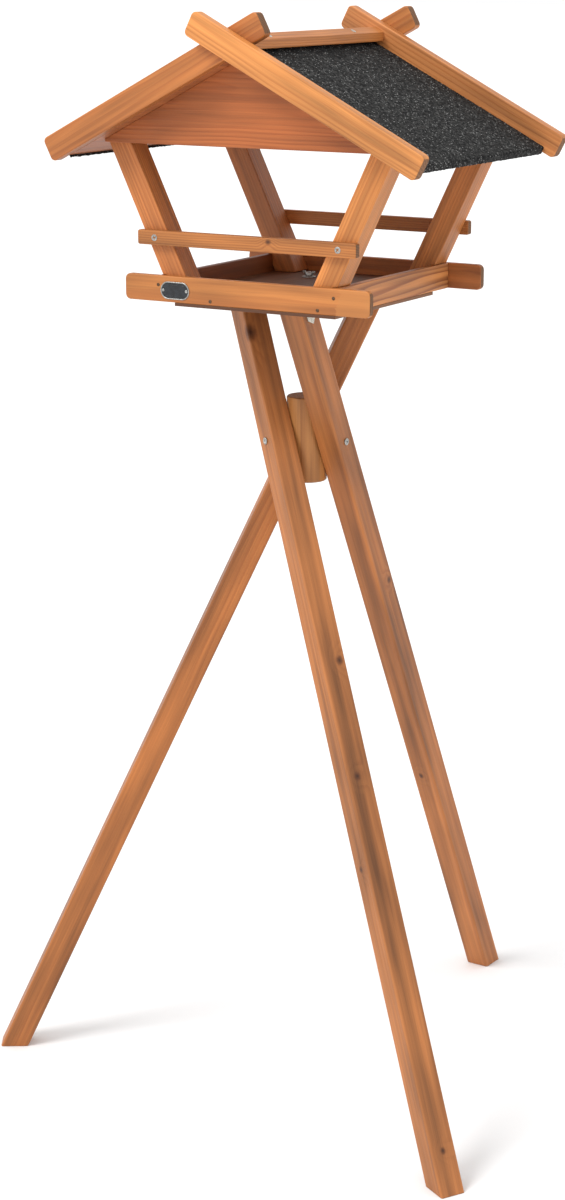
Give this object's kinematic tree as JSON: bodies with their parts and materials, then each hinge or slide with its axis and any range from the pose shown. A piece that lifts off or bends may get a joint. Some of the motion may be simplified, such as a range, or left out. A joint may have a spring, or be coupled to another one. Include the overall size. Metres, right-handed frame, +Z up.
{
  "type": "bird feeder on pole",
  "caption": "Wooden bird feeder table with a felted gable roof, open seed tray and perch rails, on a folding wooden stand.",
  "frame": {"origin": "on the ground, under the middle of the box that holds the whole object", "axes": "+Z up, the roof's ridge runs along Y, and the front gable, with the badge below it, faces -Y"},
  "size_m": [0.7562, 0.7074, 1.3994],
  "materials": {
    "pine": "pine boards with a brown translucent glaze, open grain and knots",
    "leg_wood": "square planed softwood with a darker brown glaze",
    "hub_wood": "turned softwood, yellowish glaze",
    "plywood": "thin plywood with striped layered edges",
    "stained_board": "dark weathered board, matt",
    "roof_felt": "mineral-faced bitumen felt, coarse and granular",
    "zinc": "bright zinc-plated steel, slightly dulled",
    "badge": "dark slate enamel with a bright rim, blank"
  },
  "bodies": {
    "hub": {"hub_block": "hub_wood", "hub_screws": "zinc"},
    "front_right_leg_body": {"front_right_leg": "leg_wood", "front_right_leg_cleat": "zinc"},
    "back_leg_body": {"back_leg": "leg_wood", "back_leg_cleat": "zinc"},
    "front_left_leg_body": {"front_left_leg": "leg_wood", "front_left_leg_cleat": "zinc"},
    "house": {"base_plate": "plywood", "floor_panel": "stained_board", "front_tray_board": "pine", "back_tray_board": "pine", "left_tray_end": "pine", "right_tray_end": "pine", "tray_nails": "zinc", "badge_plate": "badge", "badge_pins": "zinc", "front_right_post": "pine", "front_left_post": "pine", "back_left_post": "pine", "back_right_post": "pine", "front_perch_rail": "pine", "back_perch_rail": "pine", "perch_screws": "zinc", "front_gable": "pine", "back_gable": "pine", "right_roof_deck": "pine", "left_roof_deck": "pine", "right_roof_felt": "roof_felt", "left_roof_felt": "roof_felt", "right_front_barge_board": "pine", "right_back_barge_board": "pine", "left_front_barge_board": "pine", "left_back_barge_board": "pine", "ridge_batten": "pine", "ridge_nails": "zinc", "floor_bolts": "zinc", "floor_washers": "zinc"},
    "back_wing_nut_body": {"back_wing_nut": "zinc"},
    "front_wing_nut_body": {"front_wing_nut": "zinc"},
    "right_wing_nut_body": {"right_wing_nut": "zinc"}
  },
  "joints": [
    {"name": "house_lift", "type": "slide", "parent": "hub", "child": "house", "axis": [0, 0, 1], "range_m": [0, 0.3]},
    {"name": "front_right_leg_fold", "type": "hinge", "parent": "hub", "child": "front_right_leg_body", "pos_m": [-0.012, -0.11661, 0.862], "axis": [0.5045, 0.8634, 0], "range_deg": [0, 26.25]},
    {"name": "back_leg_fold", "type": "hinge", "parent": "hub", "child": "back_leg_body", "pos_m": [0.05306, -0.08195, 0.862], "axis": [-0.998, 0.0628, 0], "range_deg": [0, 25.85]},
    {"name": "front_left_leg_fold", "type": "hinge", "parent": "hub", "child": "front_left_leg_body", "pos_m": [-0.01304, -0.04247, 0.862], "axis": [0.5284, -0.849, 0], "range_deg": [0, 25.05]},
    {"name": "back_wing_nut_spin", "type": "hinge", "parent": "house", "child": "back_wing_nut_body", "pos_m": [-0.03372, 0.00067, 1.06], "axis": [0, 0, 1], "continuous": true},
    {"name": "front_wing_nut_spin", "type": "hinge", "parent": "house", "child": "front_wing_nut_body", "pos_m": [-0.03757, -0.1569, 1.06], "axis": [0, 0, 1], "continuous": true},
    {"name": "right_wing_nut_spin", "type": "hinge", "parent": "house", "child": "right_wing_nut_body", "pos_m": [0.10082, -0.08145, 1.06], "axis": [0, 0, 1], "continuous": true}
  ],
  "couplings": [
    {"joint": "front_right_leg_fold", "follows": "house_lift", "rad_per_m": 1.5243},
    {"joint": "back_leg_fold", "follows": "house_lift", "rad_per_m": 1.501},
    {"joint": "front_left_leg_fold", "follows": "house_lift", "rad_per_m": 1.4544}
  ]
}
